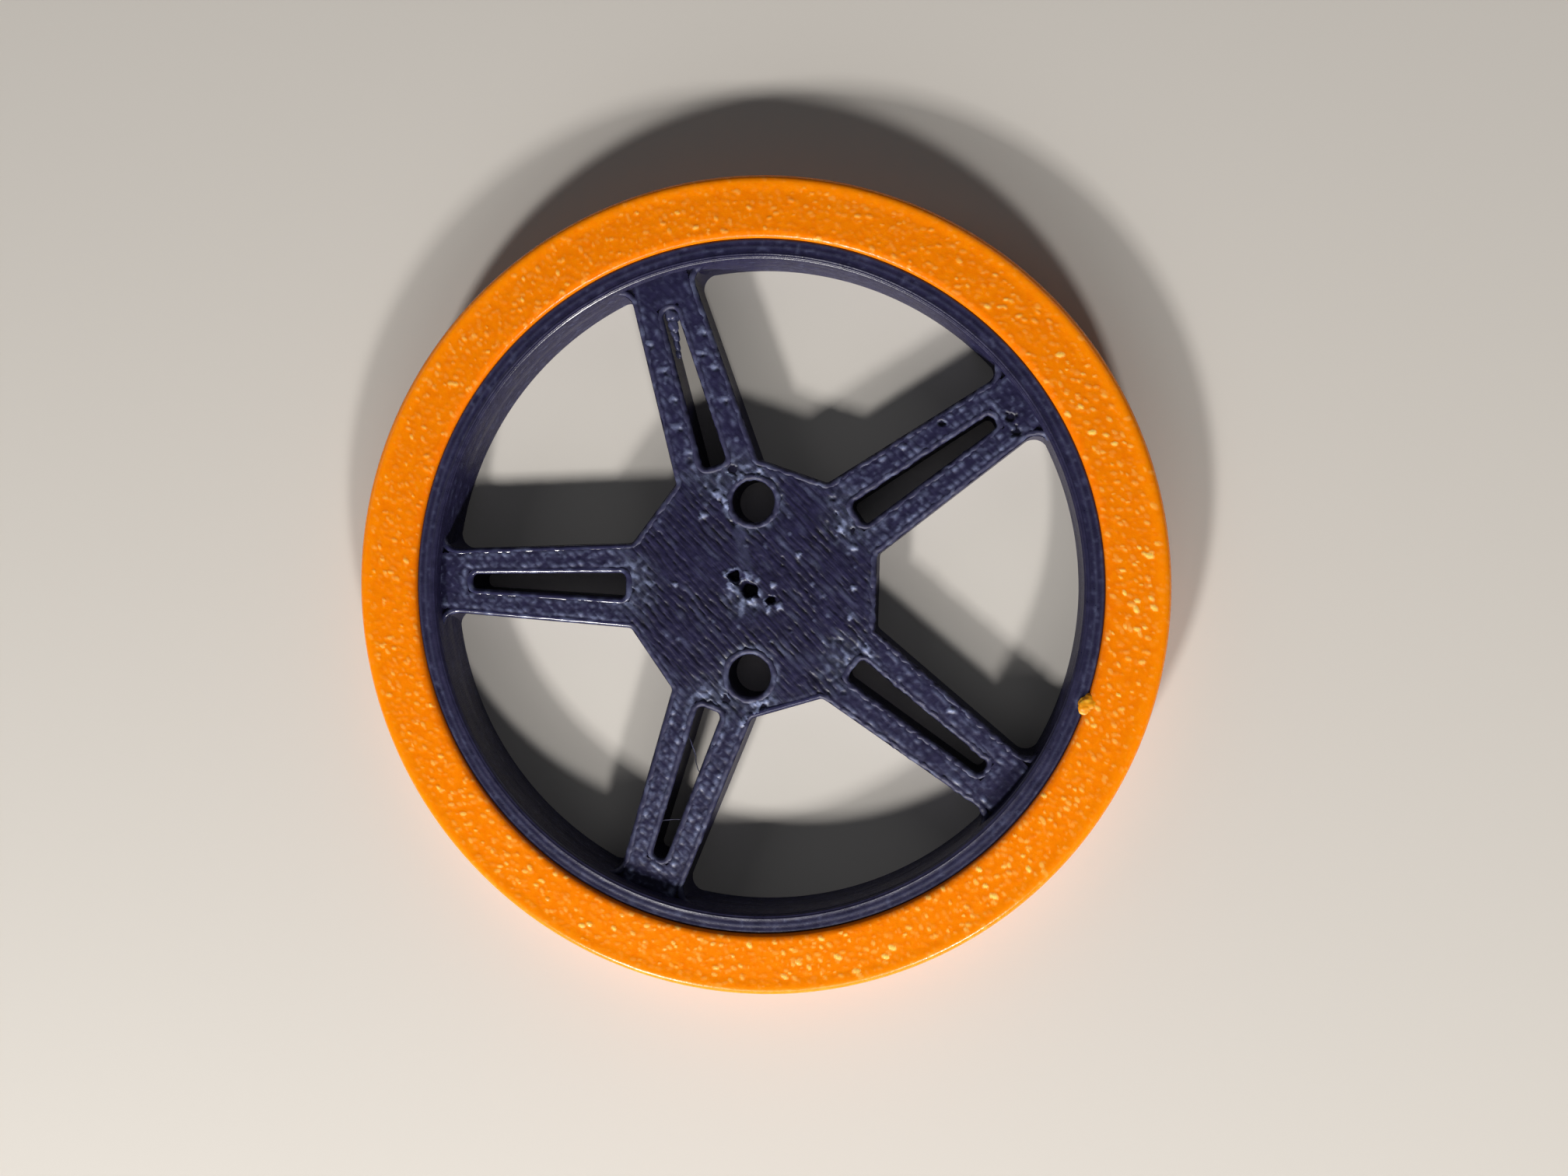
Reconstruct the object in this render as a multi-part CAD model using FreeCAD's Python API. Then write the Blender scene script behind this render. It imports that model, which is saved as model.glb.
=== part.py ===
import FreeCAD, Part
import math
import os

# Drive wheel of a small robot car, in two prints: a rim with slotted spokes, and a tyre stretched over it.
# It lies on its back face. The origin is the wheel's centre on that face, and +Z points out of the front.
# All sizes are in millimetres.

# Ring of the rim, which carries the tyre
SEAT_RADIUS = 27.6
RING_WALL = 1.6
RING_WIDTH = 5.0
RING_CHAMFER = 0.3

# Web inside the ring: a hub with one flat between each two spokes, and the spokes
WEB_THICKNESS = 4.0
WEB_CHAMFER = 0.25
SPOKE_COUNT = 5
FIRST_SPOKE_ANGLE = 180.0
HUB_FLAT_RADIUS = 10.0
HUB_CORNER_ROUND = 0.5
SPOKE_WIDTH_AT_HUB = 6.9
SPOKE_WIDTH_AT_RING = 5.2
SPOKE_ROOT_ROUND = 1.2

# Tapered slot along each spoke
SLOT_WIDTH_AT_HUB = 2.0
SLOT_WIDTH_AT_RING = 1.2
SLOT_HUB_MARGIN = 0.35
SLOT_RING_MARGIN = 2.7
SLOT_CORNER_ROUND = 0.5
LARGEST_ROUND_SHARE = 0.45

# Two screw holes through the hub, on the Y axis
BOLT_SPACING = 14.0
BOLT_HOLE_RADIUS = 1.7

# Tyre, which stands a little proud of the ring at the front
TYRE_THICKNESS = 4.9
TYRE_WIDTH = 5.4
TYRE_EDGE_ROUND = 0.6
TYRE_BORE_CHAMFER = 0.2
TYRE_CLEARANCE = 0.0

AXIS = FreeCAD.Vector(0, 0, 1)
CENTRE = FreeCAD.Vector(0, 0, 0)
SAME_PLACE = 1e-4

ring_inner_radius = SEAT_RADIUS - RING_WALL
tyre_bore_radius = SEAT_RADIUS + TYRE_CLEARANCE
tyre_outer_radius = tyre_bore_radius + TYRE_THICKNESS
spoke_pitch = 360.0 / SPOKE_COUNT


def polar(radius, angle):
    """Point in the back plane at a radius and an angle in degrees."""
    turn = math.radians(angle)
    return FreeCAD.Vector(radius * math.cos(turn), radius * math.sin(turn), 0)


def turned(shape, angle):
    """Copy of a shape, turned about the wheel's axis."""
    copy = shape.copy()
    copy.rotate(CENTRE, AXIS, angle)
    return copy


def patterned(shape, first_angle):
    """One copy of a shape for each spoke."""
    return [turned(shape, first_angle + count * spoke_pitch) for count in range(SPOKE_COUNT)]


def plain_ring(inner, outer, width):
    """Ring with square edges that stands on the back plane."""
    return Part.makeCylinder(outer, width).cut(Part.makeCylinder(inner, width))


def circle_edges(solid, radius, heights):
    """Full circles of a solid that have this radius and one of these heights."""
    found = []
    for edge in solid.Edges:
        is_circle = isinstance(edge.Curve, Part.Circle) and edge.isClosed()
        if is_circle and abs(edge.Curve.Radius - radius) < SAME_PLACE:
            if any(abs(edge.Curve.Center.z - height) < SAME_PLACE for height in heights):
                found.append(edge)
    return found


def upright_edges(solid):
    """Edges of a prism that run along Z."""
    return [edge for edge in solid.Edges if abs(edge.Vertexes[0].Z - edge.Vertexes[-1].Z) > SAME_PLACE]


def edges_at(edges, radius):
    """Those of some upright edges that stand at this distance from the wheel's axis."""
    return [edge for edge in edges if abs(math.hypot(edge.Vertexes[0].X, edge.Vertexes[0].Y) - radius) < SAME_PLACE]


def spoke_edge(side):
    """Two points on a side of a spoke that runs along +X."""
    at_hub = FreeCAD.Vector(HUB_FLAT_RADIUS, side * SPOKE_WIDTH_AT_HUB / 2, 0)
    at_ring = FreeCAD.Vector(ring_inner_radius, side * SPOKE_WIDTH_AT_RING / 2, 0)
    return at_hub, at_ring


def window():
    """Opening between two spokes, centred on +X: a hub flat, two spoke sides and the ring's wall."""
    at_hub, at_ring = spoke_edge(1)
    turn = FreeCAD.Rotation(AXIS, -spoke_pitch / 2)
    start = turn.multVec(at_hub)
    along = (turn.multVec(at_ring) - start).normalize()
    hub_corner = start + along * ((HUB_FLAT_RADIUS - start.x) / along.x)
    half_chord = start.dot(along)
    to_wall = math.sqrt(half_chord ** 2 - start.dot(start) + ring_inner_radius ** 2) - half_chord
    ring_corner = start + along * to_wall
    hub_mirror = FreeCAD.Vector(hub_corner.x, -hub_corner.y, 0)
    ring_mirror = FreeCAD.Vector(ring_corner.x, -ring_corner.y, 0)
    outline = Part.Wire([
        Part.makeLine(hub_mirror, hub_corner),
        Part.makeLine(hub_corner, ring_corner),
        Part.Arc(ring_corner, polar(ring_inner_radius, 0), ring_mirror).toShape(),
        Part.makeLine(ring_mirror, hub_mirror),
    ])
    prism = Part.Face(outline).extrude(AXIS * WEB_THICKNESS)
    hub_radius = math.hypot(hub_corner.x, hub_corner.y)
    prism = prism.makeFillet(HUB_CORNER_ROUND, edges_at(upright_edges(prism), hub_radius))
    return prism.makeFillet(SPOKE_ROOT_ROUND, edges_at(upright_edges(prism), ring_inner_radius))


def slot():
    """Tapered slot along a spoke that runs along +X."""
    start = HUB_FLAT_RADIUS + SLOT_HUB_MARGIN
    end = ring_inner_radius - SLOT_RING_MARGIN
    outline = Part.makePolygon([
        FreeCAD.Vector(start, -SLOT_WIDTH_AT_HUB / 2, 0),
        FreeCAD.Vector(end, -SLOT_WIDTH_AT_RING / 2, 0),
        FreeCAD.Vector(end, SLOT_WIDTH_AT_RING / 2, 0),
        FreeCAD.Vector(start, SLOT_WIDTH_AT_HUB / 2, 0),
        FreeCAD.Vector(start, -SLOT_WIDTH_AT_HUB / 2, 0),
    ])
    prism = Part.Face(outline).extrude(AXIS * WEB_THICKNESS)
    largest_round = LARGEST_ROUND_SHARE * min(SLOT_WIDTH_AT_HUB, SLOT_WIDTH_AT_RING)
    return prism.makeFillet(min(SLOT_CORNER_ROUND, largest_round), upright_edges(prism))


def bolt_holes():
    """The two screw holes, on the Y axis."""
    return [
        Part.makeCylinder(BOLT_HOLE_RADIUS, WEB_THICKNESS, FreeCAD.Vector(0, side * BOLT_SPACING / 2, 0))
        for side in (-1, 1)
    ]


def web():
    """Hub and spokes: a disc with the windows, slots and holes cut out, and chamfers on its front."""
    disc_radius = ring_inner_radius + RING_WALL / 2
    cuts = patterned(window(), FIRST_SPOKE_ANGLE + spoke_pitch / 2)
    cuts += patterned(slot(), FIRST_SPOKE_ANGLE)
    cuts += bolt_holes()
    body = Part.makeCylinder(disc_radius, WEB_THICKNESS).cut(cuts)
    front_edges = []
    for edge in body.Edges:
        is_front = edge.BoundBox.ZMin > WEB_THICKNESS - SAME_PLACE
        is_disc_edge = edge.BoundBox.DiagonalLength > 2 * disc_radius
        if is_front and not is_disc_edge:
            front_edges.append(edge)
    return body.makeChamfer(WEB_CHAMFER, front_edges)


def rim():
    """The rim in one piece: the ring with the web inside it."""
    ring = plain_ring(ring_inner_radius, SEAT_RADIUS, RING_WIDTH)
    front_edges = circle_edges(ring, ring_inner_radius, (RING_WIDTH,))
    front_edges += circle_edges(ring, SEAT_RADIUS, (RING_WIDTH,))
    return ring.makeChamfer(RING_CHAMFER, front_edges).fuse(web()).removeSplitter()


def tyre():
    """The tyre: a ring with rounded tread edges and a small lead-in at both ends of its bore."""
    ring = plain_ring(tyre_bore_radius, tyre_outer_radius, TYRE_WIDTH)
    faces = (0, TYRE_WIDTH)
    ring = ring.makeFillet(TYRE_EDGE_ROUND, circle_edges(ring, tyre_outer_radius, faces))
    return ring.makeChamfer(TYRE_BORE_CHAMFER, circle_edges(ring, tyre_bore_radius, faces))


os.makedirs("parts", exist_ok=True)
for name, shape in (("rim", rim()), ("tyre", tyre())):
    shape.exportStep("parts/" + name + ".step")
    print(name, "solids", len(shape.Solids), "valid", shape.isValid(), "volume", round(shape.Volume, 1))
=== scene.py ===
# Looks of a robot car wheel in two prints: a navy rim with slotted spokes and an orange tyre.
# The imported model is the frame. Sizes here are in millimetres until a mesh gets them, in metres.

import cmath
import math
import random

import bpy
import numpy as np
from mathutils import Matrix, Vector, noise


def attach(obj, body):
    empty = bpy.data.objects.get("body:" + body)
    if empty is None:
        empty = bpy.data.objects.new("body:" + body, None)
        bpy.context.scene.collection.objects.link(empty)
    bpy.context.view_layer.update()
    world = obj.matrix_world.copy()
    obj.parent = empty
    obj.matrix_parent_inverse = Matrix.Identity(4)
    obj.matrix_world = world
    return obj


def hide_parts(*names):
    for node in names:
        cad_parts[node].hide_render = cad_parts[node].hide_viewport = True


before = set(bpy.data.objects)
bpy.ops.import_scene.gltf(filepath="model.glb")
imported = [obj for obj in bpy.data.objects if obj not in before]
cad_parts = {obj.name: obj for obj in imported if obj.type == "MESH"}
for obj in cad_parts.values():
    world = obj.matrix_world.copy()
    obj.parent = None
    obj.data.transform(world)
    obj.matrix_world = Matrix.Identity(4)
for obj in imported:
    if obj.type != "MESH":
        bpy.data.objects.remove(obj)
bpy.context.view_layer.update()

MM = 0.001
BODY = "root"

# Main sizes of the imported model
RING_INNER_RADIUS = 26.0
SEAT_RADIUS = 27.6
RING_WIDTH = 5.0
WEB_THICKNESS = 4.0
SPOKE_COUNT = 5
SPOKE_PITCH = math.tau / SPOKE_COUNT
FIRST_SPOKE_ANGLE = math.pi
HUB_FLAT_RADIUS = 10.0
HUB_CORNER_ROUND = 0.5
SPOKE_HALF_AT_HUB = 3.45
SPOKE_HALF_AT_RING = 2.6
SPOKE_ROOT_ROUND = 1.2
SLOT_HALF_AT_HUB = 1.0
SLOT_HALF_AT_RING = 0.6
SLOT_START = 10.35
SLOT_END = 23.3
SLOT_CORNER_ROUND = 0.5
BOLT_OFFSET = 7.0
BOLT_HOLE_RADIUS = 1.7
TYRE_OUTER_RADIUS = 32.5
TYRE_WIDTH = 5.4
TYRE_EDGE_ROUND = 0.6

# Print settings that show on the surface
LAYER = 0.2
LAYER_GROOVE = 0.03
LAYER_SHIFT = 0.25
BEAD_RADIUS = 0.3
BEAD_STEP = 0.16
FILL_PITCH = 0.6
FILL_TURN = math.radians(-45)

# Points across one layer of a wall: share of its height, and share of the groove's depth
LAYER_SHAPE = ((0.2, 0.28), (0.5, 0.0), (0.8, 0.28))

SAME_PLACE = 1e-7
random.seed(11)


def clear_selection():
    """Leaves nothing selected, so that an operator acts on the new piece alone."""
    bpy.ops.object.select_all(action="DESELECT")


def added(name):
    """The object that the last operator added, under its own name."""
    piece = bpy.context.active_object
    piece.name = name
    piece.data.name = name
    return piece


def make_active(piece):
    """Selects one piece alone and makes it the active one."""
    clear_selection()
    piece.select_set(True)
    bpy.context.view_layer.objects.active = piece


def edit(piece):
    """Opens a piece in edit mode with all of it selected."""
    make_active(piece)
    bpy.ops.object.mode_set(mode="EDIT")
    bpy.ops.mesh.select_all(action="SELECT")


def close_mesh():
    """Merges the open mesh's doubles, turns its faces outwards and leaves edit mode."""
    bpy.ops.mesh.select_all(action="SELECT")
    bpy.ops.mesh.remove_doubles(threshold=SAME_PLACE)
    bpy.ops.mesh.normals_make_consistent(inside=False)
    bpy.ops.object.mode_set(mode="OBJECT")


def corners(piece):
    """The piece's vertices as an array, in millimetres."""
    flat = np.empty(len(piece.data.vertices) * 3)
    piece.data.vertices.foreach_get("co", flat)
    return flat.reshape(-1, 3) / MM


def place_corners(piece, points):
    """Moves the piece's vertices to these points, given in millimetres."""
    piece.data.vertices.foreach_set("co", (np.asarray(points) * MM).ravel())
    piece.data.update()


def select_corners(piece, chosen):
    """Selects the vertices that are chosen, before edit mode opens."""
    mesh = piece.data
    mesh.polygons.foreach_set("select", np.zeros(len(mesh.polygons), bool))
    mesh.edges.foreach_set("select", np.zeros(len(mesh.edges), bool))
    mesh.vertices.foreach_set("select", chosen)


def lathe(name, profile, steps):
    """Closed ring, turned from a closed profile of (radius, height) points."""
    clear_selection()
    bpy.ops.mesh.primitive_circle_add(vertices=len(profile), radius=MM)
    piece = added(name)
    place_corners(piece, [(radius, 0, height) for radius, height in profile])
    screw = piece.modifiers.new("turn", "SCREW")
    screw.steps = steps
    screw.render_steps = steps
    screw.use_merge_vertices = True
    screw.merge_threshold = SAME_PLACE
    bpy.ops.object.modifier_apply(modifier=screw.name)
    edit(piece)
    close_mesh()
    return piece


def prism(name, outline, low, high):
    """Upright prism over a closed outline of complex points."""
    clear_selection()
    bpy.ops.mesh.primitive_circle_add(vertices=len(outline), radius=MM, fill_type="NGON")
    piece = added(name)
    place_corners(piece, [(point.real, point.imag, low) for point in outline])
    edit(piece)
    bpy.ops.mesh.extrude_region_move(TRANSFORM_OT_translate={"value": (0, 0, (high - low) * MM)})
    close_mesh()
    return piece


def joined(name, pieces):
    """Several pieces as one mesh."""
    make_active(pieces[0])
    for piece in pieces:
        piece.select_set(True)
    bpy.ops.object.join()
    return added(name)


def cut(piece, cutter):
    """Cuts the cutter out of a piece and takes the cutter away."""
    make_active(piece)
    boolean = piece.modifiers.new("cut", "BOOLEAN")
    boolean.object = cutter
    boolean.operation = "DIFFERENCE"
    boolean.solver = "EXACT"
    bpy.ops.object.modifier_apply(modifier=boolean.name)
    bpy.data.objects.remove(cutter)


def smooth(piece, angle):
    """Smooth shading across edges that turn by less than this angle, in degrees."""
    make_active(piece)
    bpy.ops.object.shade_smooth_by_angle(angle=math.radians(angle))


def keep_marks(piece, **marks):
    """Keeps values from 0 to 1 for the materials: relief on crests, low in hollows as painted shade, scuff
    where pale and where a painted sheen or glint lies, streak, and gloss.
    """
    for name, values in marks.items():
        attribute = piece.data.attributes.new(name, "FLOAT", "POINT")
        attribute.data.foreach_set("value", np.clip(values + np.zeros(len(piece.data.vertices)), 0, 1))


def arc(centre, radius, start, end, steps):
    """Points along an arc, from one angle to another."""
    return [centre + cmath.rect(radius, start + (end - start) * step / steps) for step in range(steps + 1)]


def circle(centre, radius, steps):
    """Points round a full circle."""
    return arc(centre, radius, 0, math.tau, steps)[:-1]


def between(limits, share):
    """Value at a share of the way from the first limit to the second."""
    first, second = limits
    return first + (second - first) * share


def ramp(values, start, end):
    """Rises smoothly from 0 at the start value to 1 at the end value."""
    share = np.clip((values - start) / (end - start), 0, 1)
    return share * share * (3 - 2 * share)


def ripple(points, size, seed):
    """Smooth noise from -1 to 1 at each point of an array, with features of about this size."""
    place = Vector((0, 0, seed))
    return np.array([noise.noise(Vector(point) / size + place) for point in points])


def spots(points):
    """Points of an array as complex places in the wheel's plane."""
    return points[:, 0] + 1j * points[:, 1]


def towards(points, angle):
    """How far each point of an array lies from the axis towards an angle."""
    return (spots(points) * cmath.rect(1, -angle)).real


# Outlines of the web, drawn round +X and turned to their places

WALL_OVERLAP = 0.05
ARC_STEPS = 8
HOLE_STEPS = 48
spoke_angles = [FIRST_SPOKE_ANGLE + count * SPOKE_PITCH for count in range(SPOKE_COUNT)]
window_angles = [angle + SPOKE_PITCH / 2 for angle in spoke_angles]


def spoke_side():
    """A point on a spoke's side, the way along it and the way into the window, for a window on +X."""
    turn = cmath.rect(1, -SPOKE_PITCH / 2)
    at_hub = complex(HUB_FLAT_RADIUS, SPOKE_HALF_AT_HUB) * turn
    at_ring = complex(RING_INNER_RADIUS, SPOKE_HALF_AT_RING) * turn
    along = (at_ring - at_hub) / abs(at_ring - at_hub)
    return at_hub, along, along * 1j


def window_edge(grow):
    """Edge of a window from the ring to the hub and back, moved into the print by grow."""
    at_hub, along, inward = spoke_side()
    wall = RING_INNER_RADIUS + WALL_OVERLAP
    base = at_hub + inward * SPOKE_ROOT_ROUND
    half_chord = (base * along.conjugate()).real
    reach = math.sqrt(half_chord ** 2 - abs(base) ** 2 + (wall - SPOKE_ROOT_ROUND) ** 2) - half_chord
    root = base + along * reach
    away = cmath.phase(-inward)
    points = arc(root, SPOKE_ROOT_ROUND + grow, cmath.phase(root), away, ARC_STEPS)
    base = at_hub + inward * HUB_CORNER_ROUND
    reach = (HUB_FLAT_RADIUS + HUB_CORNER_ROUND - base.real) / along.real
    points += arc(base + along * reach, HUB_CORNER_ROUND + grow, away, -math.pi, ARC_STEPS)
    return points + [point.conjugate() for point in reversed(points)]


def ring_arc():
    """The window's arc along the ring's wall, from the end of window_edge to its start."""
    end = cmath.phase(window_edge(0)[-1])
    return arc(0, RING_INNER_RADIUS + WALL_OVERLAP, end, -end, 3 * ARC_STEPS)[1:-1]


def slot_edge(grow):
    """Edge of the tapered slot in a spoke on +X, moved into the print by grow."""
    radius = SLOT_CORNER_ROUND
    points = []
    for place, half, first in (
        (SLOT_END - radius, SLOT_HALF_AT_RING - radius, 0),
        (SLOT_START + radius, SLOT_HALF_AT_HUB - radius, math.pi / 2),
    ):
        points += arc(complex(place, half), radius + grow, first, first + math.pi / 2, ARC_STEPS)
    return points + [point.conjugate() for point in reversed(points)]


def hole_edge(side, grow):
    """Edge of a screw hole, moved into the print by grow."""
    return circle(complex(0, side * BOLT_OFFSET), BOLT_HOLE_RADIUS + grow, HOLE_STEPS)


def turned(points, angle):
    """Complex points turned about the wheel's axis."""
    return [point * cmath.rect(1, angle) for point in points]


def nearest_spoke(spot):
    """Number of the spoke nearest to each complex point."""
    return np.round((np.angle(spot) - FIRST_SPOKE_ANGLE) / SPOKE_PITCH).astype(int) % SPOKE_COUNT


def depth_in_web(spot):
    """Distance from each complex point to the nearest window, slot or hole: below zero inside one."""
    at_hub, _, inward = spoke_side()
    depth = np.full(len(spot), np.inf)
    taper = (SLOT_HALF_AT_RING - SLOT_HALF_AT_HUB) / (SLOT_END - SLOT_START)
    for spoke, window in zip(spoke_angles, window_angles):
        here = spot * cmath.rect(1, -window)
        here = here.real - 1j * abs(here.imag)
        past_side = -((here - at_hub) * inward.conjugate()).real
        depth = np.minimum(depth, np.maximum(past_side, HUB_FLAT_RADIUS - here.real))
        here = spot * cmath.rect(1, -spoke)
        half = SLOT_HALF_AT_HUB + taper * (here.real - SLOT_START)
        past_end = np.maximum(SLOT_START - here.real, here.real - SLOT_END)
        depth = np.minimum(depth, np.maximum(abs(here.imag) - half, past_end))
    for side in (-1, 1):
        depth = np.minimum(depth, abs(spot - 1j * side * BOLT_OFFSET) - BOLT_HOLE_RADIUS)
    return depth


# Tyre: a tread with print layers on its wall, and a front with the bumps of the build plate

FRONT_DEPTH = 0.8
FRONT_ROWS = 40
FRONT_STEPS = 1720
FACE_RELIEF = 0.4
BORE_ROUND = 0.5
# Painted shade at the face's inner edge, which is darker and redder
BORE_RELIEF = 0.35
EDGE_BAND = 0.9
EDGE_BAND_CALM = 0.75
EDGE_BAND_RELIEF = 0.25
WAVE_SIZE = 0.9
WAVE_HEIGHT = 0.012
TREAD_STEPS = 480
TREAD_SCUFF = 0.03

# Bumps on the tyre's face. A tone from 0 to 1 makes each one taller and paler, a paleness that is partly
# their paler tops and partly painted highlight
PEBBLE_GAP = 0.55
PEBBLE_CELLS = 128
PEBBLE_CHANCES = 5
PEBBLE_SEED = 5
PEBBLE_RADII = (0.13, 0.312)
PEBBLE_STRETCH = 1.7
PEBBLE_TURN = math.radians(-28)
PEBBLE_SWAY = math.radians(80)
PEBBLE_HEIGHTS = (0.018, 0.075)
TALL_POWER = 6
PALE_POWER = 3
PALE_TOP = (0.25, 0.7)
PEBBLE_PALENESS = (0.12, 1.0)
PALE_PATCH_SIZE = 1.4
PALE_PATCH_EDGE = (-0.3, 0.4)
PALE_PATCHES = (0.45, 1.0)
# Painted light: the bumps are painted paler towards the lower right, the side where the lamps stand
PALE_SIDE = math.radians(-55)
PALE_SIDE_REACH = (-25, 25)
PALE_BY_SIDE = (0.75, 1.15)
# Painted glints: near-white on the palest bumps, on the right side only
GLINT_TOP = (0.1, 0.4)
GLINT_TONES = (0.94, 0.97)
GLINT_SIDE = math.radians(-20)
GLINT_SIDE_REACH = (5, 20)
NEIGHBOURS = [(x, y) for x in (-1, 0, 1) for y in (-1, 0, 1)]


def corner_points(radius, height, size, start, end, steps):
    """Rounded corner of a profile, about a centre, between two angles in degrees."""
    centre = complex(radius, height)
    turn = arc(centre, size, math.radians(start), math.radians(end), steps)
    return [(point.real, point.imag) for point in turn]


def pebbles(points):
    """Separate bumps, one in each cell of a grid, longer than wide: their height, paleness with painted
    highlight, and painted glints.
    """
    here = spots(points) * cmath.rect(1, -PEBBLE_TURN)
    column = np.floor(here.real / PEBBLE_GAP).astype(int)
    row = np.floor(here.imag / PEBBLE_GAP).astype(int)
    chances = np.random.default_rng(PEBBLE_SEED).random((PEBBLE_CHANCES, PEBBLE_CELLS, PEBBLE_CELLS))
    height, pale, glint = np.zeros((3, len(here)))
    for x_step, y_step in NEIGHBOURS:
        x = column + x_step
        y = row + y_step
        right, up, size, tone, turn = chances[:, x % PEBBLE_CELLS, y % PEBBLE_CELLS]
        away = here - PEBBLE_GAP * (x + right + 1j * (y + up))
        away *= np.exp(1j * PEBBLE_SWAY * (turn - 0.5))
        distance = np.hypot(away.real / PEBBLE_STRETCH, away.imag)
        bump = 1 - ramp(distance, 0, between(PEBBLE_RADII, size))
        height = np.maximum(height, bump * between(PEBBLE_HEIGHTS, tone ** TALL_POWER))
        pale = np.maximum(pale, ramp(bump, *PALE_TOP) * between(PEBBLE_PALENESS, tone ** PALE_POWER))
        glint = np.maximum(glint, ramp(bump, *GLINT_TOP) * ramp(tone, *GLINT_TONES))
    return height, pale, glint


def make_tyre_front():
    """Front of the tyre: a fine ring whose face takes the pebbled print of the build plate."""
    seam = TYRE_WIDTH - FRONT_DEPTH
    inner = SEAT_RADIUS + BORE_ROUND
    outer = TYRE_OUTER_RADIUS - TYRE_EDGE_ROUND
    profile = [(SEAT_RADIUS, seam)]
    profile += corner_points(inner, TYRE_WIDTH - BORE_ROUND, BORE_ROUND, start=180, end=90, steps=5)
    for row in range(1, FRONT_ROWS):
        profile.append((inner + (outer - inner) * row / FRONT_ROWS, TYRE_WIDTH))
    profile += corner_points(outer, TYRE_WIDTH - TYRE_EDGE_ROUND, TYRE_EDGE_ROUND, start=90, end=0, steps=6)
    profile.append((TYRE_OUTER_RADIUS, seam))
    piece = lathe("tyre_front", profile, FRONT_STEPS)
    points = corners(piece)
    radius = abs(spots(points))
    in_band = ramp(radius, outer - EDGE_BAND, outer)
    pebbled = ramp(radius, SEAT_RADIUS, SEAT_RADIUS + BORE_ROUND / 2) * (1 - EDGE_BAND_CALM * in_band)
    pebbled *= ramp(points[:, 2], TYRE_WIDTH - TYRE_EDGE_ROUND, TYRE_WIDTH)
    height, pale, glint = pebbles(points)
    waves = ripple(points, size=WAVE_SIZE, seed=3)
    points[:, 2] -= pebbled * (max(PEBBLE_HEIGHTS) - height + WAVE_HEIGHT * (1 - waves))
    place_corners(piece, points)
    patches = ramp(ripple(points, size=PALE_PATCH_SIZE, seed=6), *PALE_PATCH_EDGE)
    pale *= pebbled * between(PALE_PATCHES, patches)
    # Painted light: paler towards the lamps' side
    pale *= between(PALE_BY_SIDE, ramp(towards(points, PALE_SIDE), *PALE_SIDE_REACH))
    # Painted glints, on the right side only
    glint *= pebbled * ramp(towards(points, GLINT_SIDE), *GLINT_SIDE_REACH)
    # Painted shade: darker and redder at the inner edge; paler and yellower in the outer band
    past_bore = ramp(radius, SEAT_RADIUS - BORE_ROUND / 2, inner + BORE_ROUND)
    relief = FACE_RELIEF + BORE_RELIEF * past_bore + EDGE_BAND_RELIEF * in_band
    keep_marks(piece, relief=relief, scuff=np.maximum(pale, glint))
    smooth(piece, angle=60)
    return piece


def layered_wall(radius, low, high, groove):
    """Points up a wall with a groove between layers. A groove above zero goes towards the axis."""
    points = []
    layers = round((high - low) / LAYER)
    for layer in range(layers):
        bottom = low + (high - low) * layer / layers
        top = low + (high - low) * (layer + 1) / layers
        push = random.uniform(0, LAYER_SHIFT * groove)
        points.append((radius - groove, bottom))
        for share, depth in LAYER_SHAPE:
            points.append((radius - push - depth * (groove - push), bottom + share * (top - bottom)))
    points.append((radius - groove, high))
    return points


def make_tyre_tread():
    """Body of the tyre behind its front: the layered tread, the back and the bore."""
    seam = TYRE_WIDTH - FRONT_DEPTH
    shoulder = TYRE_OUTER_RADIUS - TYRE_EDGE_ROUND
    profile = corner_points(shoulder, TYRE_EDGE_ROUND, TYRE_EDGE_ROUND, start=-90, end=0, steps=7)
    profile += layered_wall(TYRE_OUTER_RADIUS, TYRE_EDGE_ROUND + LAYER, seam, LAYER_GROOVE)
    profile.append((SEAT_RADIUS, seam))
    profile += corner_points(SEAT_RADIUS + BORE_ROUND, BORE_ROUND, BORE_ROUND, start=180, end=270, steps=5)
    piece = lathe("tyre_tread", profile, TREAD_STEPS)
    keep_marks(piece, relief=1, scuff=TREAD_SCUFF)
    smooth(piece, angle=60)
    return piece


# Lumps of stray plastic, and the blob that some of them make on the tyre
LUMP_FINENESS = 4
LUMP_UNEVEN = 0.28
LUMP_WAVE_SIZE = 0.7
BLOB_ANGLE = math.radians(-17.0)
BLOB_RADIUS = 27.75
BLOB_HEIGHT = 5.02
BLOB_VOXEL = 0.05
BLOB_SOFTENING = 5
BLOB_PALE_EDGE = (-0.2, 0.5)

# Lumps of the blob: place outwards, place along the edge, half sizes and seed
BLOB_LUMPS = (
    (0.05, 0.34, (0.58, 0.55, 0.3), 1),
    (-0.06, -0.34, (0.56, 0.52, 0.32), 2),
    (0.12, 0.0, (0.88, 0.66, 0.33), 3),
)


def lump(place, height, size, angle, seed):
    """Uneven lump of plastic at a place drawn round +X and turned: a sphere pressed to a size."""
    clear_selection()
    bpy.ops.mesh.primitive_ico_sphere_add(subdivisions=LUMP_FINENESS, radius=MM)
    piece = added("lump")
    points = corners(piece)
    points *= 1 + LUMP_UNEVEN * ripple(points, size=LUMP_WAVE_SIZE, seed=seed)[:, None]
    points *= size
    turn = cmath.rect(1, angle)
    spot = spots(points) * turn + place * turn
    place_corners(piece, np.stack([spot.real, spot.imag, points[:, 2] + height], 1))
    return piece


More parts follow.
